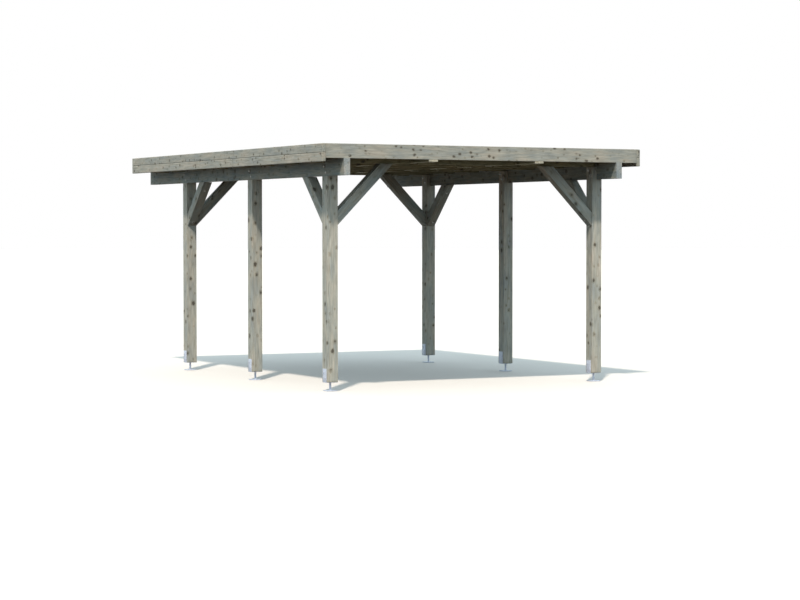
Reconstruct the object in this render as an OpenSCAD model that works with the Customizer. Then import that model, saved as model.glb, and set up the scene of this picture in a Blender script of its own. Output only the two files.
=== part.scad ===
// Open timber carport: two rows of three posts on steel feet, a beam along each row,
// rafters across the beams, corner braces and a flat boarded roof inside fascias.
// Millimetres, +Z up, ground at Z = 0, front toward -Y, origin under the middle of the roof.

/* [Overall] */
// Width of the roof over its side fascias
roof_w = 3620; // [3000:10:4400]
// Depth of the roof over its front and rear fascias
roof_l = 5110; // [4200:10:6200]
// Height from the ground to the underside of the beams
clear_h = 2100; // [1800:10:2700]
// Distance from a side of the roof to the centreline of its row of posts
side_overhang = 287.5; // [150:0.5:450]
// Distance from the front fascia's face to the centre of the front posts
front_overhang = 425; // [250:5:800]
// Distance from the rear fascia's face to the centre of the rear posts
rear_overhang = 1055; // [400:5:1300]

/* [Posts and beams] */
// Side of the square posts
post_w = 115; // [90:1:140]
// Thickness of the side beams
beam_t = 62; // [40:1:80]
// Height of the side beams
beam_h = 162; // [120:1:220]
// How far each end of a beam stands out past the fascia's face
beam_proud = 13; // [0:1:60]

/* [Rafters] */
// Thickness of a rafter
rafter_t = 45; // [35:1:70]
// Height of a rafter
rafter_h = 135; // [100:1:200]
// Depth of the notches that seat a rafter on the beams and clear the tie boards
rafter_notch = 34; // [25:1:60]
// Number of rafters inside each bay, between two post lines
rafters_per_bay = 2; // [1:1:4]
// Number of rafters inside the rear overhang, before the rear edge
rafters_in_overhang = 1; // [0:1:3]
// Width of the two flat tie boards that run along the depth under the rafters
tie_w = 98; // [60:1:140]
// Thickness of the tie boards
tie_t = 22; // [15:1:25]

/* [Braces] */
// Side of the square braces
brace_w = 98; // [60:1:115]
// Height from the foot of every brace up to the underside of the beams
brace_drop = 481; // [250:1:700]

/* [Roof] */
// Thickness of the roof boards
deck_t = 18; // [12:1:28]
// Thickness of the roof covering
covering_t = 4; // [2:1:8]
// Thickness of the boards of the side fascias
side_fascia_t = 40; // [18:1:50]
// Thickness of the front and rear fascias
end_fascia_t = 20; // [15:1:30]
// How far the fascias stand up past the roof covering
upstand = 17; // [0:1:60]

/* [Post feet] */
// Side of the square ground plate
plate_w = 105; // [85:1:160]
// Thickness of the ground plate
plate_t = 8; // [5:1:12]
// Distance between neighbouring bolt holes in the ground plate
bolt_spacing = 75; // [50:1:130]
// Diameter of a bolt hole in the ground plate
bolt_hole_d = 11; // [8:0.5:14]
// Diameter of the rod between the ground plate and the shoe
rod_d = 20; // [14:1:30]
// Height from the ground to the underside of a post
post_gap = 90; // [50:1:140]
// Thickness of the steel shoe's cheeks and seat
shoe_t = 5; // [3:1:8]
// Width of the shoe's cheeks, along the row
shoe_w = 78; // [50:1:115]
// Height of the shoe's cheeks above the underside of the post
cheek_h = 130; // [80:1:200]

/* [Hidden] */
$fn = 48;
SIDES = ["left", "right"];
ROWS = ["front", "middle", "rear"];
END_ROWS = ["front", "rear"];

// Places along the depth, from the front (-Y) to the rear
front_y = -roof_l / 2;
rear_y = roof_l / 2;
bay = (roof_l - front_overhang - rear_overhang) / 2;
post_ys = [for (i = [0 : 2]) front_y + front_overhang + i * bay];
front_rafter_y = front_y + end_fascia_t + rafter_t / 2;
rear_rafter_y = rear_y - end_fascia_t - rafter_t / 2;
function between(a, b, count) = [for (i = [1 : count]) a + (b - a) * i / (count + 1)];
front_bay_rafters = between(post_ys[0], post_ys[1], rafters_per_bay);
rear_bay_rafters = between(post_ys[1], post_ys[2], rafters_per_bay);
tail_rafters = between(post_ys[2], rear_rafter_y, rafters_in_overhang);
rafter_ys = concat([front_rafter_y, post_ys[0]], front_bay_rafters, [post_ys[1]], rear_bay_rafters,
    [post_ys[2]], tail_rafters, [rear_rafter_y]);

// Heights
brace_foot = clear_h - brace_drop;
beam_top = clear_h + beam_h;
rafter_z = beam_top - rafter_notch;
deck_z = rafter_z + rafter_h;
covering_z = deck_z + deck_t;
fascia_top = covering_z + covering_t + upstand;
side_board_h = (fascia_top - rafter_z) / 2;

// Places across the width, for the right-hand row; the left one mirrors it
row_x = roof_w / 2 - side_overhang;
beam_outer_x = row_x + post_w / 2;
beam_inner_x = beam_outer_x - beam_t;
tie_x = roof_w / 6;
inside_w = roof_w - 2 * side_fascia_t;
inside_l = roof_l - 2 * end_fascia_t;

last_rafter = len(rafter_ys) - 1;
RAFTERS = [for (i = [0 : last_rafter]) str("rafter_", i + 1)];

// Draws the right-hand piece for side "right" and its mirror image for side "left"
module on_side(side) {
    mirror([side == "left" ? 1 : 0, 0, 0]) children();
}

// Steel foot: ground plate, rod and a shoe whose two cheeks hold the post
module foot(side, y) {
    shoe_len = post_w + 2 * shoe_t;
    color("lightsteelblue") on_side(side) translate([row_x, y, 0]) {
        difference() {
            translate([-plate_w / 2, -plate_w / 2, 0]) cube([plate_w, plate_w, plate_t]);
            for (dx = [-1, 1]) for (dy = [-1, 1])
                translate([dx * bolt_spacing / 2, dy * bolt_spacing / 2, -1])
                    cylinder(d = bolt_hole_d, h = plate_t + 2);
        }
        translate([0, 0, plate_t]) cylinder(d = rod_d, h = post_gap - shoe_t - plate_t);
        translate([-shoe_len / 2, -shoe_w / 2, post_gap - shoe_t]) cube([shoe_len, shoe_w, shoe_t]);
        for (dx = [-shoe_len / 2, shoe_len / 2 - shoe_t])
            translate([dx, -shoe_w / 2, post_gap]) cube([shoe_t, shoe_w, cheek_h]);
    }
}

// Post: square timber whose top is cut back on the outside to seat the beam
module post(side, y) {
    tongue_t = post_w - beam_t;
    color("darkkhaki") on_side(side) translate([row_x - post_w / 2, y - post_w / 2, 0]) {
        translate([0, 0, post_gap]) cube([post_w, post_w, clear_h - post_gap]);
        translate([0, 0, clear_h]) cube([tongue_t, post_w, rafter_z - clear_h]);
    }
}

// Beam: one timber along a row, seated in the posts' cut-backs
module beam(side) {
    beam_l = roof_l + 2 * beam_proud;
    color("tan") on_side(side)
        translate([beam_inner_x, -beam_l / 2, clear_h]) cube([beam_t, beam_l, beam_h]);
}

// Outline of a 45 degree brace: the post's face is at 0, the brace rises along +X to the top
module brace_outline(top_z) {
    rise = top_z - brace_foot;
    slant = brace_w * sqrt(2);
    polygon([[0, brace_foot], [rise, top_z], [rise - slant, top_z], [0, brace_foot + slant]]);
}

// Brace across the width, from a post's inner face up to the rafter over it
module cross_brace(side, y) {
    color("burlywood") on_side(side)
        translate([row_x - post_w / 2, y + brace_w / 2, 0]) mirror([1, 0, 0])
            rotate([90, 0, 0]) linear_extrude(brace_w) brace_outline(rafter_z);
}

// Brace along the row, from a corner post up to the underside of the beam. Its inner face never
// stands past the post's, where the cross brace starts
module side_brace(side, y, toward) {
    inner = min(brace_w, post_w) / 2;
    color("burlywood") on_side(side)
        translate([row_x - inner, y + toward * post_w / 2, 0]) mirror([0, toward < 0 ? 1 : 0, 0])
            rotate([90, 0, 90]) linear_extrude(inner + brace_w / 2) brace_outline(clear_h);
}

// Rafter: notched over both beams and over the tie boards
module rafter(y) {
    color("sienna") difference() {
        translate([-inside_w / 2, y - rafter_t / 2, rafter_z]) cube([inside_w, rafter_t, rafter_h]);
        for (s = SIDES) on_side(s) {
            rafter_cut(y, beam_inner_x, beam_t);
            rafter_cut(y, tie_x - tie_w / 2, tie_w);
        }
    }
}

// Rafter at the front or rear edge: sawn level with the tops of the beams, so its fascia hides it
module edge_rafter(y) {
    color("sienna") translate([-inside_w / 2, y - rafter_t / 2, beam_top])
        cube([inside_w, rafter_t, rafter_h - rafter_notch]);
}

// The piece taken out of a rafter's underside, from x over the given width
module rafter_cut(y, x, width) {
    translate([x, y - rafter_t, rafter_z - rafter_notch]) cube([width, 2 * rafter_t, 2 * rafter_notch]);
}

// Tie board: lies flat in the rafters' notches, level with the tops of the beams
module tie_board(side) {
    color("burlywood") on_side(side)
        translate([tie_x - tie_w / 2, front_y, beam_top - tie_t]) cube([tie_w, roof_l, tie_t]);
}

// Side fascia: two boards, one above the other, along the full depth
module side_fascia(side, level) {
    boards_down = level == "upper" ? 1 : 2;
    color("palegoldenrod") on_side(side)
        translate([inside_w / 2, front_y, fascia_top - boards_down * side_board_h])
            cube([side_fascia_t, roof_l, side_board_h]);
}

// Front or rear fascia: one board between the side fascias, above the beams' ends
module end_fascia(row) {
    y = row == "front" ? front_y : rear_y - end_fascia_t;
    color("palegoldenrod") translate([-inside_w / 2, y, beam_top])
        cube([inside_w, end_fascia_t, fascia_top - beam_top]);
}

// Roof boards, laid along the depth on top of the rafters
module roof_deck() {
    color("peru") translate([-inside_w / 2, -inside_l / 2, deck_z]) cube([inside_w, inside_l, deck_t]);
}

// Sheet covering over the roof boards
module roof_covering() {
    color("dimgray") translate([-inside_w / 2, -inside_l / 2, covering_z])
        cube([inside_w, inside_l, covering_t]);
}

for (s = SIDES) for (i = [0 : 2]) {
    foot(s, post_ys[i]);
    post(s, post_ys[i]);
}
for (s = SIDES) beam(s);
for (s = SIDES) for (i = [0, 1]) {
    cross_brace(s, post_ys[2 * i]);
    side_brace(s, post_ys[2 * i], 1 - 2 * i);
}
for (i = [0 : last_rafter]) union() {
    if (i == 0 || i == last_rafter) edge_rafter(rafter_ys[i]);
    else rafter(rafter_ys[i]);
}
for (s = SIDES) tie_board(s);
for (s = SIDES) for (level = ["lower", "upper"])
    side_fascia(s, level);
for (r = END_ROWS) end_fascia(r);
roof_deck();
roof_covering();
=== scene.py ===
import math
import random

import bmesh
import bpy
from mathutils import Matrix, Vector


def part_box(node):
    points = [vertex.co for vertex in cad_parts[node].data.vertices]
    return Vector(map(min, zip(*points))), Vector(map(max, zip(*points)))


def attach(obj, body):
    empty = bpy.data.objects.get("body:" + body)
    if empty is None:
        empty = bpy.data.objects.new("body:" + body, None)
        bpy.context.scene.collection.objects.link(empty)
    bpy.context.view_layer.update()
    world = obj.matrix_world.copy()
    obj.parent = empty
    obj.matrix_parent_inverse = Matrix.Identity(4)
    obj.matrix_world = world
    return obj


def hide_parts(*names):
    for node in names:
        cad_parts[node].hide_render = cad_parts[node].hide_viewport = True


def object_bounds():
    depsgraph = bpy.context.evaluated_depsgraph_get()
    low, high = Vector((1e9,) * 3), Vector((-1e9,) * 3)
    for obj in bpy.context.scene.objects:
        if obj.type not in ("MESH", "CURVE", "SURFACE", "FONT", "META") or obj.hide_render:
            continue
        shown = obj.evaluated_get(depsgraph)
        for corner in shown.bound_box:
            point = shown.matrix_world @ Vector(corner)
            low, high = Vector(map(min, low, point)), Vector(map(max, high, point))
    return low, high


# Looks of the open timber carport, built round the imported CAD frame. Metres, +Z up, front toward -Y.

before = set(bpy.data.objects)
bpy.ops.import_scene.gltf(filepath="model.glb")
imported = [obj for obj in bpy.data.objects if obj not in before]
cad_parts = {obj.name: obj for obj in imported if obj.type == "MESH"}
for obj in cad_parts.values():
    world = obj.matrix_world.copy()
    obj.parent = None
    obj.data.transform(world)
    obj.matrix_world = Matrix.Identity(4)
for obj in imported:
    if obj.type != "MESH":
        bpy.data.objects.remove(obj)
cad_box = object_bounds()
chance = random.Random(11)

X, Y, Z = Vector((1, 0, 0)), Vector((0, 1, 0)), Vector((0, 0, 1))
SIDES = {"left": -1, "right": 1}        # the way out from the middle along X
ROWS = ("front", "middle", "rear")
END_ROWS = {"front": 1, "rear": -1}     # the way in toward the middle along Y
RAFTERS = sorted((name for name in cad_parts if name.startswith("rafter_")),
                 key=lambda name: int(name.split("_")[1]))

# Timber and boards
ARRIS_R = 0.003
SIDE_FASCIA_ARRIS_R = 0.006
BOARD_COUNT = 29
BOARD_CHAMFER = 0.004

# Post feet, as in the CAD source
SHOE_T = 0.005
PLATE_T = 0.008
ROD_D = 0.020

# Details of the feet that the CAD source leaves out
STEEL_ARRIS_R = 0.001
THREAD_PITCH = 0.0025
THREAD_CREST_R, THREAD_ROOT_R = ROD_D / 2 + 0.0004, ROD_D / 2 - 0.0006
THREAD_STEPS = 20                       # points in each turn
THREAD_MARGIN = 0.006                   # rod left plain at each plate, for the weld
WELD_STEPS = 40
WELD_RIPPLES = 10

# Roof covering
FELT_T = 0.002
FELT_LAP = 0.09
FELT_STRIPS = 6
FELT_STEP = 0.012                       # length in which a strip comes down from a lap
FELT_GAP = 1e-4                         # between a strip's end and the next one's step
FELT_FILLET = 0.012
# The bead at a lap, as (distance out from the lap, thicknesses of felt up)
FELT_BEAD = ((-0.001, 1), (0.016, 1), (0.011, 1.5), (-0.001, 1.95))

# Screws and bolts: profiles of (radius, height), and of the six-lobed drive sunk in the head
DRIVE_LOBES = 0.16
COUNTERSUNK_HEAD = ((0.0044, -0.0022), (0.0044, -0.0003), (0.0041, 0.0))
COUNTERSUNK_DRIVE = ((0.0022, 0.0), (0.0019, -0.0016))
COUNTERSUNK_HOLE_R, COUNTERSUNK_HOLE_DEPTH = 0.0047, 0.0026
WASHER_HEAD = ((0.011, 0.0), (0.011, 0.0012), (0.0085, 0.0030), (0.0060, 0.0042))
WASHER_HEAD_DRIVE = ((0.0034, 0.0044), (0.0030, 0.0020))
BOLT_DOME = ((0.0125, 0.0), (0.0123, 0.0012), (0.0105, 0.0032), (0.0065, 0.0049), (0.0015, 0.0055))
BOLT_END = ((0.005, 0.009), (0.005, 0.0150), (0.0042, 0.0158))
WASHER_EDGE = 0.0004
BEAM_NUT = {"washer_r": 0.015, "washer_t": 0.0025, "across_flats": 0.017, "height": 0.0085}
COACH_HEAD = {"washer_r": 0.0095, "washer_t": 0.0016, "across_flats": 0.010, "height": 0.0045}

# Where they sit: shares of a board's height or width, of a brace's length, or (shift along Y, rise)
SIDE_FASCIA_SCREWS = (0.25, 0.75)
END_FASCIA_SCREWS = (0.2, 0.8)
END_FASCIA_SCREW_PAIRS = 7
TIE_SCREWS = (0.25, 0.75)
BRACE_SCREWS = (0.09, 0.80)
BEAM_BOLTS = ((-0.022, 0.038), (0.022, 0.096))
COACH_SCREWS = ((-0.018, 0.038), (0.018, 0.094))


# ---------------------------------------------------------------- pieces and meshes

def piece(name, bm, material, smooth_angle=None):
    """Makes an object of the finished bmesh, riding on the carport, with its material"""
    mesh = bpy.data.meshes.new(name)
    bmesh.ops.recalc_face_normals(bm, faces=bm.faces)
    bm.to_mesh(mesh)
    bm.free()
    if smooth_angle is not None:
        mesh.shade_smooth()
        mesh.set_sharp_from_angle(angle=math.radians(smooth_angle))
    mesh.materials.append(material)
    obj = bpy.data.objects.new(name, mesh)
    bpy.context.scene.collection.objects.link(obj)
    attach(obj, "root")
    return obj


def facing(direction, at):
    """The matrix that turns +Z to the direction and moves the origin to the point"""
    return Matrix.Translation(at) @ Vector(direction).to_track_quat("Z", "Y").to_matrix().to_4x4()


def add_rings(bm, rings, matrix=Matrix.Identity(4), closed=False):
    """Joins rings of points, each a loop of the same number, into one skin.

    The first and last rings are capped, or joined to each other if closed."""
    loops = [[bm.verts.new(matrix @ Vector(p)) for p in ring] for ring in rings]
    pairs = list(zip(loops, loops[1:]))
    if closed:
        pairs.append((loops[-1], loops[0]))
    for low, high in pairs:
        for i in range(len(low)):
            j = (i + 1) % len(low)
            bm.faces.new((low[i], low[j], high[j], high[i]))
    if not closed:
        bm.faces.new(loops[0][::-1])
        bm.faces.new(loops[-1])


def circle(radius, z, count=24, lobes=0.0):
    """A ring of points round +Z; lobes makes it a six-lobed star"""
    points = []
    for i in range(count):
        angle = 2 * math.pi * i / count
        r = radius * (1 + lobes * math.cos(6 * angle))
        points.append((r * math.cos(angle), r * math.sin(angle), z))
    return points


def add_lathe(bm, profile, matrix, count=24):
    """Turns a profile of (radius, height) points round the local +Z"""
    add_rings(bm, [circle(r, z, count) for r, z in profile], matrix)


def add_mitred_sweep(bm, profile, half_x, half_y):
    """Sweeps a closed profile of (distance in from the edge, z) round a rectangle"""
    corners = ((-1, -1), (1, -1), (1, 1), (-1, 1))
    rings = []
    for sx, sy in corners:
        rings.append([(sx * (half_x - d), sy * (half_y - d), z) for d, z in profile])
    add_rings(bm, rings, closed=True)


def rounded_copy(node, radius):
    """The CAD node's own shape as a bmesh, with its sharp edges rounded"""
    merge_within, flat_angle, sharp_angle = 1e-5, math.radians(1), math.radians(25)
    bm = bmesh.new()
    bm.from_mesh(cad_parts[node].data)
    bmesh.ops.remove_doubles(bm, verts=bm.verts, dist=merge_within)
    bmesh.ops.dissolve_limit(bm, angle_limit=flat_angle, verts=bm.verts, edges=bm.edges)
    sharp = [e for e in bm.edges if e.is_manifold and e.calc_face_angle() > sharp_angle]
    bmesh.ops.bevel(bm, geom=sharp, offset=radius, segments=2, profile=0.5,
                    affect="EDGES", clamp_overlap=True)
    return bm


def drilled(bm, holes, radius, depth):
    """The bmesh with a blind hole sunk at each (point, outward direction)"""
    tool = bmesh.new()
    for at, outward in holes:
        add_lathe(tool, [(radius, -depth), (radius, depth)], facing(outward, at))
    bmesh.ops.recalc_face_normals(tool, faces=tool.faces)
    objects = []
    for part in (bm, tool):
        mesh = bpy.data.meshes.new("drilling")
        part.to_mesh(mesh)
        part.free()
        obj = bpy.data.objects.new("drilling", mesh)
        bpy.context.scene.collection.objects.link(obj)
        objects.append(obj)
    cut = objects[0].modifiers.new("cut", "BOOLEAN")
    cut.object = objects[1]
    cut.operation = "DIFFERENCE"
    cut.solver = "EXACT"
    depsgraph = bpy.context.evaluated_depsgraph_get()
    result = bmesh.new()
    result.from_mesh(objects[0].evaluated_get(depsgraph).to_mesh())
    for obj in objects:
        bpy.data.meshes.remove(obj.data)
    return result


# ---------------------------------------------------------------- the grain that each timber carries

def write_grain(obj, along, across, parts=None):
    """Stores where each point lies in its timber, and a tone for the timber.

    grain is the place along the grain and from the pith, and ends is the distance from both ends and
    the tone. parts lists (first, last + 1) of the vertices of separate boards in the mesh."""
    up = along.cross(across)
    mesh = obj.data
    grain = mesh.attributes.new("grain", "FLOAT_VECTOR", "POINT")
    ends = mesh.attributes.new("ends", "FLOAT_VECTOR", "POINT")
    for first, last in parts or [(0, len(mesh.vertices))]:
        points = [mesh.vertices[i].co for i in range(first, last)]
        local = [(p.dot(along), p.dot(across), p.dot(up)) for p in points]
        low = [min(p[k] for p in local) for k in range(3)]
        high = [max(p[k] for p in local) for k in range(3)]
        middle = [(a + b) / 2 for a, b in zip(low, high)]
        half = [max((b - a) / 2, 1e-4) for a, b in zip(low, high)]
        start = chance.uniform(0, 40)
        angle = chance.uniform(0, 2 * math.pi)
        reach = chance.uniform(0.5, 1.6) * max(half[1], half[2])
        pith = (reach * math.cos(angle), reach * math.sin(angle))
        tone = chance.uniform(0, 1)
        for i, (a, b, c) in zip(range(first, last), local):
            grain.data[i].vector = (a + start, b - middle[1] - pith[0], c - middle[2] - pith[1])
            ends.data[i].vector = (a - low[0], high[0] - a, tone)


# ---------------------------------------------------------------- materials

# The sockets of a Mix node that mixes colours
MIX_FACTOR, MIX_A, MIX_B, MIX_RESULT = 0, 6, 7, 2


class Nodes:
    """Adds linked nodes to a new material"""

    def __init__(self, name):
        self.material = bpy.data.materials.new(name)
        self.material.use_nodes = True
        self.tree = self.material.node_tree
        self.tree.nodes.clear()

    def node(self, kind, inputs, **settings):
        node = self.tree.nodes.new("ShaderNode" + kind)
        for key, value in settings.items():
            setattr(node, key, value)
        for socket, value in inputs.items():
            if isinstance(value, bpy.types.NodeSocket):
                self.tree.links.new(value, node.inputs[socket])
            else:
                node.inputs[socket].default_value = value
        return node

    def add(self, kind, inputs, output=0, **settings):
        return self.node(kind, inputs, **settings).outputs[output]

    def attribute(self, name):
        return self.add("Attribute", {}, output="Vector", attribute_name=name)

    def place(self):
        return self.add("TexCoord", {}, output="Object")

    def axes(self, vector):
        return self.node("SeparateXYZ", {0: vector}).outputs

    def math(self, operation, a, b=0.0):
        return self.add("Math", {0: a, 1: b}, operation=operation)

    def plus(self, a, b):
        return self.math("ADD", a, b)

    def minus(self, a, b):
        return self.math("SUBTRACT", a, b)

    def times(self, a, b):
        return self.math("MULTIPLY", a, b)

    def vector(self, operation, a, b):
        return self.add("VectorMath", {0: a, 1: b}, operation=operation)

    def stretched(self, vector, factors):
        return self.vector("MULTIPLY", vector, factors)

    def noise(self, vector, scale=1.0, detail=2.0, roughness=0.5, output="Fac"):
        inputs = {"Vector": vector, "Scale": scale, "Detail": detail, "Roughness": roughness}
        return self.add("TexNoise", inputs, output=output)

    def cells(self, vector, scale):
        """The outputs of a Voronoi texture, and a random number for each of its cells"""
        outputs = self.node("TexVoronoi", {"Vector": vector, "Scale": scale}).outputs
        return outputs, self.add("SeparateColor", {0: outputs["Color"]})

    def range(self, value, low, high, to_low=0.0, to_high=1.0):
        inputs = {"Value": value, "From Min": low, "From Max": high, "To Min": to_low, "To Max": to_high}
        return self.add("MapRange", inputs, interpolation_type="SMOOTHSTEP")

    def spread(self, noise, to_low, to_high):
        """A noise, which lies mostly between 0.3 and 0.7, spread over another range"""
        return self.range(noise, 0.3, 0.7, to_low, to_high)

    def ramp(self, factor, stops):
        node = self.node("ValToRGB", {"Fac": factor})
        elements = node.color_ramp.elements
        while len(elements) < len(stops):
            elements.new(1.0)
        for element, (place, colour) in zip(elements, stops):
            element.position = place
            element.color = (*colour, 1.0)
        return node.outputs["Color"]

    def mix(self, factor, a, b, blend="MIX"):
        colours = {MIX_A: a, MIX_B: b}
        for key, value in colours.items():
            if isinstance(value, tuple):
                colours[key] = (*value, 1.0)
        inputs = {MIX_FACTOR: factor, **colours}
        return self.add("Mix", inputs, output=MIX_RESULT, data_type="RGBA", blend_type=blend)

    def tinted(self, colour, factor, tint):
        return self.mix(factor, colour, tint, blend="MULTIPLY")

    def shaded(self, colour, shade):
        grey = self.add("CombineColor", {0: shade, 1: shade, 2: shade})
        return self.tinted(colour, 1.0, grey)

    def bump(self, height, strength, distance):
        return self.add("Bump", {"Height": height, "Strength": strength, "Distance": distance})

    def finish(self, **inputs):
        named = {key.replace("_", " "): value for key, value in inputs.items()}
        self.node("OutputMaterial", {"Surface": self.add("BsdfPrincipled", named)})
        return self.material


# Softwood: its late wood and the halos of its knots multiply the colour by a tint, at a strength
RING_PITCH = 0.0052
LATE_WOOD_TINT, LATE_WOOD_STRENGTH = (0.62, 0.55, 0.44), 0.34
KNOT_HALO_TINT, KNOT_HALO_STRENGTH = (0.60, 0.54, 0.46), 0.68
KNOT_CORE = (0.062, 0.052, 0.042)
KNOT_R_LOW, KNOT_R_HIGH = 0.03, 0.25    # in knot cells
TONE_STOPS = (0.36, 0.50, 0.64)         # where the cool, neutral and warm tones lie
END_NEAR, END_FAR = 0.010, 0.025        # an end's tint fades out between these distances


def knots(n, grain, cell):
    """The cores and halos of knots: rounded, longer along the grain, each with its own size"""
    warp = n.vector("SUBTRACT", n.noise(grain, scale=45.0, output="Color"), (0.5, 0.5, 0.5))
    warp = n.vector("MULTIPLY", warp, (0.016, 0.016, 0.016))
    cells, pick = n.cells(n.vector("ADD", n.stretched(grain, (0.75, 1, 1)), warp), 1 / cell)
    size = n.range(pick, 0.05, 1.0, KNOT_R_LOW, KNOT_R_HIGH)
    ragged = n.times(n.noise(grain, scale=180.0), 0.05)
    beyond = n.plus(n.minus(cells["Distance"], size), ragged)
    return n.range(beyond, -0.03, 0.06, 0.85, 0.0), n.range(beyond, 0.0, 0.24, 1.0, 0.0)


def late_wood(n, grain, halo):
    """The dark line of each growth ring, round the pith, bent by slow waves and by the knots"""
    axes = n.axes(grain)
    radius = n.math("SQRT", n.plus(n.math("POWER", axes["Y"], 2.0), n.math("POWER", axes["Z"], 2.0)))
    wave = n.noise(n.stretched(grain, (1.1, 9, 9)), detail=1.0)
    bent = n.plus(n.plus(radius, n.times(wave, 0.030)), n.times(halo, 0.006))
    phase = n.math("FRACT", n.times(bent, 1 / RING_PITCH))
    return n.times(n.range(phase, 0.35, 0.9), n.range(phase, 0.93, 1.0, 1.0, 0.0))


def ground_colour(n, grain, timber_tone, tones):
    """Streaks along the grain and slow patches of the cool, neutral and warm tones"""
    streak = n.noise(n.stretched(grain, (3.2, 38, 38)), detail=3.0, roughness=0.58)
    patch = n.noise(n.stretched(grain, (3.2, 9, 9)), detail=3.0, roughness=0.55)
    tone = n.plus(n.times(streak, 0.55), n.times(patch, 0.65))
    tone = n.plus(tone, n.times(timber_tone, 0.06))
    return n.ramp(n.minus(tone, 0.13), list(zip(TONE_STOPS, tones)))


def wood(name, tones, knot_cell, sawn=0.0, end_grain_and_painted_light_tint=(0.925, 0.920, 0.905)):
    """Softwood with growth rings, fibres, streaks and knots, read from the timber's own grain.

    tones are its cool, neutral and warm colours, knot_cell is the mean spacing of the knots, sawn
    roughens the surface as a saw leaves it, and end_grain_and_painted_light_tint colours the last centimetres before an end."""
    n = Nodes(name)
    grain = n.attribute("grain")
    ends = n.axes(n.attribute("ends"))
    core, halo = knots(n, grain, knot_cell)
    late = late_wood(n, grain, halo)
    fibre = n.noise(n.stretched(grain, (9, 420, 420)))
    mottle = n.noise(n.stretched(grain, (7, 60, 60)), detail=3.0, roughness=0.6)

    colour = ground_colour(n, grain, ends["Z"], tones)
    colour = n.tinted(colour, n.times(late, LATE_WOOD_STRENGTH), LATE_WOOD_TINT)
    colour = n.shaded(colour, n.times(n.spread(mottle, 0.84, 1.12), n.spread(fibre, 0.88, 1.08)))
    colour = n.tinted(colour, n.times(halo, KNOT_HALO_STRENGTH), KNOT_HALO_TINT)
    colour = n.mix(core, colour, KNOT_CORE)
    # The last centimetres before each end: darkened as end grain by default, and brightened as a painted
    # light on the beams' and tie boards' ends.
    near_end = n.range(n.math("MINIMUM", ends["X"], ends["Y"]), END_NEAR, END_FAR, 1.0, 0.0)
    colour = n.tinted(colour, near_end, end_grain_and_painted_light_tint)

    height = n.plus(n.times(late, 0.5), n.times(fibre, 0.6 + sawn))
    height = n.minus(height, n.times(core, 0.4))
    if sawn:
        marks = n.noise(n.stretched(grain, (260, 14, 14)), detail=1.0)
        height = n.plus(height, n.times(marks, sawn))
    rough = n.minus(n.spread(fibre, 0.62, 0.82), n.times(core, 0.18))
    return n.finish(Base_Color=colour, Roughness=rough, Specular_IOR_Level=0.15,
                    Normal=n.bump(height, 0.45, 0.0012))


def galvanised(name, light, dark):
    """Hot-dip galvanised steel: a dull zinc skin with crystal spangle"""
    n = Nodes(name)
    place = n.place()
    spangle = n.cells(place, 95.0)[1]
    cloud = n.noise(place, scale=22.0, detail=3.0)
    grit = n.noise(place, scale=900.0, detail=1.0)
    factor = n.plus(n.times(spangle, 0.45), n.times(cloud, 0.6))
    return n.finish(Base_Color=n.ramp(factor, [(0.15, dark), (0.85, light)]), Metallic=0.35,
                    Roughness=n.range(factor, 0.1, 0.9, 0.66, 0.50), Normal=n.bump(grit, 0.15, 0.0004))


def zinc_screw(name):
    """Zinc-plated steel of screws and bolts, dulled by weather"""
    n = Nodes(name)
    cloud = n.noise(n.place(), scale=260.0, detail=3.0)
    colour = n.ramp(cloud, [(0.3, (0.16, 0.16, 0.155)), (0.7, (0.34, 0.34, 0.325))])
    return n.finish(Base_Color=colour, Metallic=0.85, Roughness=n.spread(cloud, 0.62, 0.42),
                    Normal=n.bump(cloud, 0.1, 0.0003))


def felt_cover(name):
    """Bitumen roofing felt with a skin of mineral granules, each strip a little lighter or darker"""
    n = Nodes(name)
    place = n.place()
    granules, pick = n.cells(place, 620.0)
    cloud = n.noise(place, scale=2.3, detail=4.0)
    roll = n.axes(n.attribute("roll"))["X"]
    colour = n.ramp(pick, [(0.1, (0.022, 0.023, 0.025)), (0.6, (0.050, 0.052, 0.054)),
                           (0.95, (0.115, 0.115, 0.11))])
    colour = n.shaded(colour, n.times(n.spread(cloud, 0.88, 1.12), n.range(roll, 0.0, 1.0, 0.93, 1.07)))
    return n.finish(Base_Color=colour, Roughness=n.range(pick, 0.0, 1.0, 0.95, 0.75),
                    Normal=n.bump(granules["Distance"], 0.5, 0.0008))


def bitumen(name):
    """The bead of bitumen that squeezes out along a lap"""
    n = Nodes(name)
    cloud = n.noise(n.place(), scale=120.0)
    colour = n.ramp(cloud, [(0.3, (0.010, 0.010, 0.011)), (0.7, (0.028, 0.027, 0.026))])
    return n.finish(Base_Color=colour, Roughness=n.spread(cloud, 0.28, 0.5),
                    Normal=n.bump(cloud, 0.3, 0.002))


# Cool, neutral and warm tones of the timbers. The fascias' are the posts', a little darker.
POST_TONES = ((0.308, 0.314, 0.298), (0.370, 0.356, 0.314), (0.425, 0.382, 0.326))
FASCIA_TONES = tuple(tuple(0.82 * value for value in tone) for tone in POST_TONES)
# The beams' tones are darker and bluer than the posts': painted shade for the beams' sides under the roof.
BEAM_PAINTED_SHADE_TONES = ((0.176, 0.200, 0.205), (0.226, 0.240, 0.222), (0.280, 0.268, 0.232))
BRACE_TONES = ((0.262, 0.286, 0.282), (0.302, 0.302, 0.274), (0.316, 0.288, 0.244))
# The rafters' and deck's tones are darker and browner than the posts': partly the wood's own tone, partly
# painted shade of the roof's underside.
RAFTER_TONES_WITH_PAINTED_SHADE = ((0.194, 0.190, 0.126), (0.257, 0.238, 0.152), (0.314, 0.277, 0.170))
DECK_TONES_WITH_PAINTED_SHADE = ((0.205, 0.190, 0.122), (0.274, 0.244, 0.150), (0.342, 0.290, 0.172))

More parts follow.
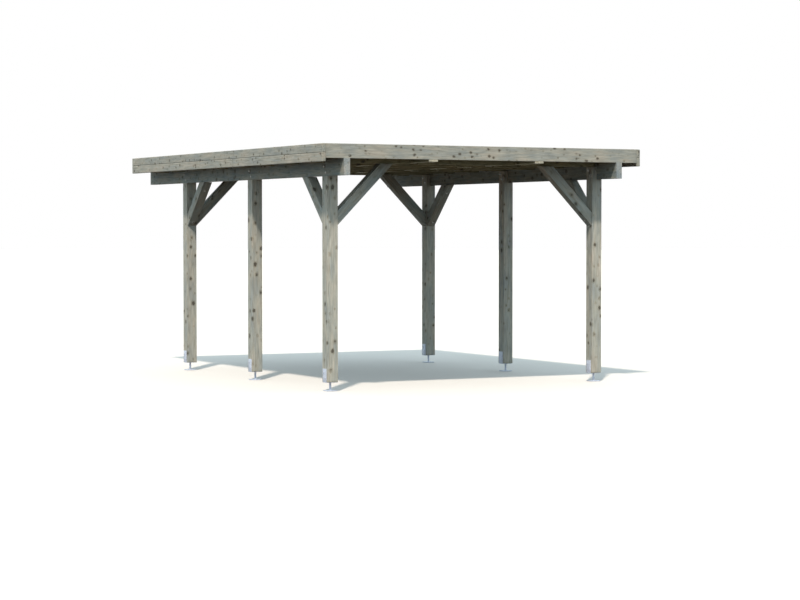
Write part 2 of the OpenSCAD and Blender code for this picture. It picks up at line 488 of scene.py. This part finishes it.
WOODS = {
    "post_wood": wood("post_wood", POST_TONES, 0.070),
    # The beams' ends are brightened and blued: painted light on the sunlit end faces, against the painted
    # shade of the beam tones.
    "beam_wood": wood("beam_wood", BEAM_PAINTED_SHADE_TONES, 0.075, end_grain_and_painted_light_tint=(1.18, 1.17, 1.26)),
    "brace_wood": wood("brace_wood", BRACE_TONES, 0.085),
    "fascia_wood": wood("fascia_wood", FASCIA_TONES, 0.048),
    "rafter_wood": wood("rafter_wood", RAFTER_TONES_WITH_PAINTED_SHADE, 0.080, sawn=0.5),
    # The tie boards' ends are brightened and blued well past their wood: painted light for the pale patches
    # just below the front fascia.
    "tie_wood": wood("tie_wood", RAFTER_TONES_WITH_PAINTED_SHADE, 0.080, end_grain_and_painted_light_tint=(1.45, 1.45, 1.85)),
    "deck_wood": wood("deck_wood", DECK_TONES_WITH_PAINTED_SHADE, 0.070),
}
STEEL = galvanised("galvanised_steel", (0.58, 0.60, 0.69), (0.38, 0.40, 0.48))
SCREW = zinc_screw("zinc_screw")
FELT = felt_cover("roof_felt")
BITUMEN = bitumen("bitumen_bead")


# ---------------------------------------------------------------- timbers

def timber(node, slot, along, across, holes=(), arris=ARRIS_R, look=None):
    """One timber: the CAD node's shape with rounded arrises, screw holes, and wood along its grain"""
    bm = rounded_copy(node, arris)
    if holes:
        bm = drilled(bm, holes, COUNTERSUNK_HOLE_R, COUNTERSUNK_HOLE_DEPTH)
    obj = piece(f"{node}_timber", bm, WOODS[look or slot])
    write_grain(obj, along.normalized(), across.normalized())
    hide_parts(node)


def posts_and_beams():
    for side in SIDES:
        timber(f"beam_{side}", "beam_wood", Y, X)
        for row in ROWS:
            timber(f"post_{row}_{side}", "post_wood", Z, X)


def braces():
    for side, sx in SIDES.items():
        for row, sy in END_ROWS.items():
            timber(f"cross_brace_{row}_{side}", "brace_wood", Z - sx * X, Y)
            timber(f"side_brace_{row}_{side}", "brace_wood", Z + sy * Y, X)


def rafters_and_ties():
    for node in RAFTERS:
        timber(node, "rafter_wood", X, Y)
    for side in SIDES:
        timber(f"tie_board_{side}", "rafter_wood", Y, X, look="tie_wood")


def rafter_lines():
    """The Y of every rafter's middle"""
    lines = []
    for node in RAFTERS:
        low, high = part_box(node)
        lines.append((low.y + high.y) / 2)
    return lines


def fascia(node, along, across, way, runs, shares, arris=ARRIS_R):
    """One fascia board, drilled for its screws, and each screw's (point, outward direction).

    Its face looks along across, or the other way if way is -1. A screw sits at each place along the
    board and each share of its height."""
    low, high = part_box(node)
    axis = 0 if along.x else 1
    holes = []
    for run in runs:
        for share in shares:
            at = (high if way > 0 else low).copy()
            at[axis] = run
            at.z = low.z + share * (high.z - low.z)
            holes.append((at, way * across))
    timber(node, "fascia_wood", along, across, holes, arris)
    return holes


def fascias():
    """The fascia boards and their screws"""
    screws = []
    for side, sx in SIDES.items():
        for level in ("lower", "upper"):
            screws += fascia(f"fascia_{side}_{level}", Y, X, sx, rafter_lines(), SIDE_FASCIA_SCREWS,
                             SIDE_FASCIA_ARRIS_R)
    for row, sy in END_ROWS.items():
        node = f"fascia_{row}"
        low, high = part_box(node)
        pairs = END_FASCIA_SCREW_PAIRS
        runs = [low.x + (high.x - low.x) * (i + 0.5) / pairs for i in range(pairs)]
        screws += fascia(node, X, Y, -sy, runs, END_FASCIA_SCREWS)
    countersunk_screws("fascia_screws", screws, sunk=0.0006)


# ---------------------------------------------------------------- roof

def roof_boards():
    """Tongued and grooved boards along the depth, with a V joint between neighbours on the underside"""
    low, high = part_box("roof_deck")
    pitch = (high.x - low.x) / BOARD_COUNT
    bm = bmesh.new()
    parts = []
    for i in range(BOARD_COUNT):
        x0, x1 = low.x + i * pitch, low.x + (i + 1) * pitch
        outline = [(x0, high.z), (x0, low.z + BOARD_CHAMFER), (x0 + BOARD_CHAMFER, low.z),
                   (x1 - BOARD_CHAMFER, low.z), (x1, low.z + BOARD_CHAMFER), (x1, high.z)]
        first = len(bm.verts)
        add_rings(bm, [[(x, y, z) for x, z in outline] for y in (low.y, high.y)])
        parts.append((first, len(bm.verts)))
    obj = piece("roof_boards", bm, WOODS["deck_wood"])
    write_grain(obj, Y, X, parts)
    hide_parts("roof_deck")


def add_across(bm, outline, low, high):
    """Runs an outline of (y, z) points across the roof"""
    add_rings(bm, [[(x, y, z) for y, z in outline] for x in (low.x, high.x)])


def felt_outline(back, front, base, lapped):
    """The cut through a strip of felt; a lapped one starts on top of the strip behind it"""
    underside = [(back, base), (front, base)]
    if lapped:
        underside = [(back, base + FELT_T), (back - FELT_LAP, base + FELT_T),
                     (back - FELT_LAP - FELT_STEP, base), (front, base)]
    return underside + [(y, z + FELT_T) for y, z in reversed(underside)]


def felt_fillet(base, top):
    """The profile of the felt's turn-up against a fascia, as (distance in, z)"""
    return [(0.0, base), (FELT_FILLET, base + 2 * FELT_T), (0.6 * FELT_FILLET, top + 0.35 * FELT_FILLET),
            (FELT_T, top + FELT_FILLET), (0.0, top + FELT_FILLET)]


def roof_felt():
    """Strips of felt across the roof with a bitumen bead at each lap, and turned up at the fascias"""
    low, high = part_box("roof_covering")
    step = (high.y - low.y - FELT_LAP) / FELT_STRIPS
    bm = bmesh.new()
    beads = bmesh.new()
    rolls = []
    for i in range(FELT_STRIPS):
        back = high.y - i * step
        if i > 0:
            add_across(beads, [(back + d, low.z + layers * FELT_T) for d, layers in FELT_BEAD], low, high)
        outline = felt_outline(back, back - step - FELT_LAP + FELT_GAP, low.z, i > 0)
        add_across(bm, outline, low, high)
        rolls += [chance.uniform(0, 1)] * (2 * len(outline))
    add_mitred_sweep(bm, felt_fillet(low.z, high.z), high.x, high.y)
    obj = piece("roof_felt_strips", bm, FELT)
    roll = obj.data.attributes.new("roll", "FLOAT_VECTOR", "POINT")
    for i, tone in enumerate(rolls):
        roll.data[i].vector = (tone, 0, 0)
    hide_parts("roof_covering")
    piece("roof_felt_beads", beads, BITUMEN, smooth_angle=60)


# ---------------------------------------------------------------- fastenings

def add_screw_head(bm, head, drive, matrix):
    """A round head with a star drive, from the profiles of both"""
    rings = [circle(r, z) for r, z in head] + [circle(r, z, lobes=DRIVE_LOBES) for r, z in drive]
    add_rings(bm, rings, matrix)


def countersunk_screws(name, places, sunk):
    """Countersunk heads, each at a (point, outward direction) and sunk below it"""
    bm = bmesh.new()
    for at, outward in places:
        add_screw_head(bm, COUNTERSUNK_HEAD, COUNTERSUNK_DRIVE, facing(outward, at - sunk * outward))
    piece(name, bm, SCREW, smooth_angle=30)


def add_nut(bm, matrix, washer_r, washer_t, across_flats, height):
    """A washer, and on it a hexagon nut or head with its corners turned off"""
    edge = WASHER_EDGE
    add_lathe(bm, [(washer_r - edge, 0.0), (washer_r, edge), (washer_r, washer_t - edge),
                   (washer_r - edge, washer_t)], matrix)
    corner_r, flat_r = across_flats / math.sqrt(3), across_flats / 2
    profile = [(corner_r, 0.0), (corner_r, 0.82 * height), (0.93 * flat_r, height)]
    add_lathe(bm, profile, matrix @ Matrix.Translation((0, 0, washer_t)), count=6)


def add_brace_screws(bm, node, run):
    """Screws on the underside of a brace that leans from its post in the direction run"""
    low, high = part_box(node)
    axis = 0 if run.x else 1
    foot_end = (low + high) / 2
    foot_end[axis] = low[axis] if run[axis] > 0 else high[axis]
    foot_end.z = low.z
    for share in BRACE_SCREWS:
        at = foot_end + share * (high.z - low.z) * (run + Z)
        add_screw_head(bm, WASHER_HEAD, WASHER_HEAD_DRIVE, facing((run - Z).normalized(), at))


def brace_screws():
    """One washer-head screw near each end of every brace"""
    bm = bmesh.new()
    for side, sx in SIDES.items():
        for row, sy in END_ROWS.items():
            add_brace_screws(bm, f"cross_brace_{row}_{side}", -sx * X)
            add_brace_screws(bm, f"side_brace_{row}_{side}", sy * Y)
    piece("brace_screws", bm, SCREW, smooth_angle=35)


def beam_bolts():
    """Two coach bolts through the beam and each post's tongue: domed heads outside, nuts inside"""
    bm = bmesh.new()
    for side, sx in SIDES.items():
        beam_low, beam_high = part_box(f"beam_{side}")
        outer_x = beam_high.x if sx > 0 else beam_low.x
        for row in ROWS:
            low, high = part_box(f"post_{row}_{side}")
            inner_x = low.x if sx > 0 else high.x
            for shift, rise in BEAM_BOLTS:
                y, z = (low.y + high.y) / 2 + shift, beam_low.z + rise
                inside = facing(-sx * X, Vector((inner_x, y, z)))
                add_lathe(bm, BOLT_DOME, facing(sx * X, Vector((outer_x, y, z))))
                add_nut(bm, inside, **BEAM_NUT)
                add_lathe(bm, BOLT_END, inside)
    piece("beam_bolts", bm, SCREW, smooth_angle=30)


def tie_screws():
    """Two screws through each tie board into every rafter, seen from below"""
    places = []
    for side in SIDES:
        low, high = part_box(f"tie_board_{side}")
        for y in rafter_lines():
            for share in TIE_SCREWS:
                places.append((Vector((low.x + share * (high.x - low.x), y, low.z)), -Z))
    countersunk_screws("tie_screws", places, sunk=-0.0003)


# ---------------------------------------------------------------- post feet

def add_thread(bm, centre, bottom, top):
    """The thread of the rod, as a wound ridge with a profile of (radius, pitches up)"""
    turns = (top - bottom) / THREAD_PITCH
    profile = ((THREAD_ROOT_R, 0.0), (THREAD_CREST_R, 0.45), (THREAD_ROOT_R, 0.9))
    rows = []
    for r, lift in profile:
        line = []
        for i in range(int((turns - 1) * THREAD_STEPS) + 1):
            angle = 2 * math.pi * i / THREAD_STEPS
            z = bottom + THREAD_PITCH * (i / THREAD_STEPS + lift)
            line.append(bm.verts.new((centre.x + r * math.cos(angle), centre.y + r * math.sin(angle), z)))
        rows.append(line)
    rows.append(rows[0])
    for low, high in zip(rows, rows[1:]):
        for i in range(len(low) - 1):
            bm.faces.new((low[i], low[i + 1], high[i + 1], high[i]))


def add_weld(bm, centre, z, up):
    """A rippled fillet weld round the rod where it meets a plate, with a profile of (out, away)"""
    rings = []
    for i in range(WELD_STEPS):
        angle = 2 * math.pi * i / WELD_STEPS
        ripple = 1 + 0.10 * math.cos(WELD_RIPPLES * angle)
        direction = Vector((math.cos(angle), math.sin(angle), 0))
        profile = ((-0.001, 0.0), (0.0045 * ripple, 0.0), (0.0028 * ripple, 0.0024),
                   (0.0008, 0.0042), (-0.001, 0.0042))
        rings.append([centre + (ROD_D / 2 + reach) * direction + Vector((0, 0, z + up * rise))
                      for reach, rise in profile])
    add_rings(bm, rings, closed=True)


def foot(row, side):
    """Galvanised post foot with eased edges, thread and welds; returns where its coach screws go"""
    node = f"foot_{row}_{side}"
    low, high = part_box(node)
    post_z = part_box(f"post_{row}_{side}")[0].z
    seat_z = post_z - SHOE_T
    centre = Vector(((low.x + high.x) / 2, (low.y + high.y) / 2, 0))
    bm = rounded_copy(node, STEEL_ARRIS_R)
    add_thread(bm, centre, PLATE_T + THREAD_MARGIN, seat_z - THREAD_MARGIN)
    add_weld(bm, centre, PLATE_T, 1)
    add_weld(bm, centre, seat_z, -1)
    obj = piece(f"{node}_steel", bm, STEEL, smooth_angle=30)
    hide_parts(node)
    return [(Vector((x, centre.y + shift, post_z + rise)), direction)
            for x, direction in ((low.x, -X), (high.x, X))
            for shift, rise in COACH_SCREWS]


def feet():
    bm = bmesh.new()
    for side in SIDES:
        for row in ROWS:
            for at, outward in foot(row, side):
                add_nut(bm, facing(outward, at), **COACH_HEAD)
    piece("foot_coach_screws", bm, STEEL, smooth_angle=30)


# ---------------------------------------------------------------- stage, light and camera

FLOOR_R = 150.0
FLOOR_DROP = 0.0005                     # below the feet, so that no two faces share a plane
FLOOR_SEEN = (0.60, 0.555, 0.53)
FLOOR_BOUNCE = (0.045, 0.030, 0.018)    # what the floor throws back at the carport

SUN_AZIMUTH, SUN_ELEVATION, SUN_SIZE = 37, 53, 3
SUN_ENERGY = 4.2
SUN_COLOUR = (1.0, 0.92, 0.80)
SKY_COLOUR = (0.96, 1.19, 1.28)
SURROUND_SEEN = (1.0, 1.0, 1.0)

CAMERA_AZIMUTH, CAMERA_PITCH, CAMERA_DISTANCE = 27.54, 1.84, 24.07
CAMERA_LENS = 98.16
CAMERA_AIM = (0.599, 0.5, 0.334)        # shares of the carport's width, depth and height


def heading(azimuth, down):
    """The unit vector at an azimuth from +Y toward +X and an angle down, in degrees"""
    azimuth, down = math.radians(azimuth), math.radians(down)
    return Vector((math.sin(azimuth) * math.cos(down), math.cos(azimuth) * math.cos(down), -math.sin(down)))


def stage():
    """A plain pale floor"""
    bm = bmesh.new()
    bmesh.ops.create_circle(bm, cap_ends=True, radius=FLOOR_R, segments=96)
    mesh = bpy.data.meshes.new("floor")
    bm.to_mesh(mesh)
    bm.free()
    n = Nodes("floor")
    bounce = n.add("LightPath", {}, output="Is Diffuse Ray")
    mesh.materials.append(n.finish(Base_Color=n.mix(bounce, FLOOR_SEEN, FLOOR_BOUNCE), Roughness=0.9))
    floor = bpy.data.objects.new("floor", mesh)
    floor.location = (0, 0, -FLOOR_DROP)
    bpy.context.scene.collection.objects.link(floor)


def light():
    """Daylight from the front left, with a soft sky and a white surround"""
    sun = bpy.data.lights.new("key", "SUN")
    sun.energy = SUN_ENERGY
    sun.angle = math.radians(SUN_SIZE)
    sun.color = SUN_COLOUR
    key = bpy.data.objects.new("key", sun)
    travel = heading(SUN_AZIMUTH, SUN_ELEVATION)
    key.rotation_euler = travel.to_track_quat("-Z", "Y").to_euler()
    bpy.context.scene.collection.objects.link(key)
    world = bpy.data.worlds.new("surround")
    world.use_nodes = True
    tree = world.node_tree
    seen = tree.nodes.new("ShaderNodeLightPath").outputs["Is Camera Ray"]
    shown = tree.nodes.new("ShaderNodeMix")
    shown.data_type = "RGBA"
    shown.inputs[MIX_A].default_value = (*SKY_COLOUR, 1.0)
    shown.inputs[MIX_B].default_value = (*SURROUND_SEEN, 1.0)
    tree.links.new(seen, shown.inputs[MIX_FACTOR])
    tree.links.new(shown.outputs[MIX_RESULT], tree.nodes["Background"].inputs["Color"])
    bpy.context.scene.world = world
    bpy.context.scene.view_settings.view_transform = "Standard"


def camera():
    """A long lens at eye height, off the front left corner, aimed a third of the way up the carport"""
    low, high = (Vector(corner) for corner in cad_box)
    aim = low + Vector([share * size for share, size in zip(CAMERA_AIM, high - low)])
    look = heading(CAMERA_AZIMUTH, CAMERA_PITCH)
    data = bpy.data.cameras.new("camera")
    data.sensor_width = 36.0
    data.lens = CAMERA_LENS
    data.clip_end = 400.0
    eye = bpy.data.objects.new("camera", data)
    eye.location = aim - CAMERA_DISTANCE * look
    eye.rotation_euler = look.to_track_quat("-Z", "Y").to_euler()
    bpy.context.scene.collection.objects.link(eye)
    bpy.context.scene.camera = eye


posts_and_beams()
braces()
rafters_and_ties()
fascias()
roof_boards()
roof_felt()
brace_screws()
beam_bolts()
tie_screws()
feet()
stage()
light()
camera()
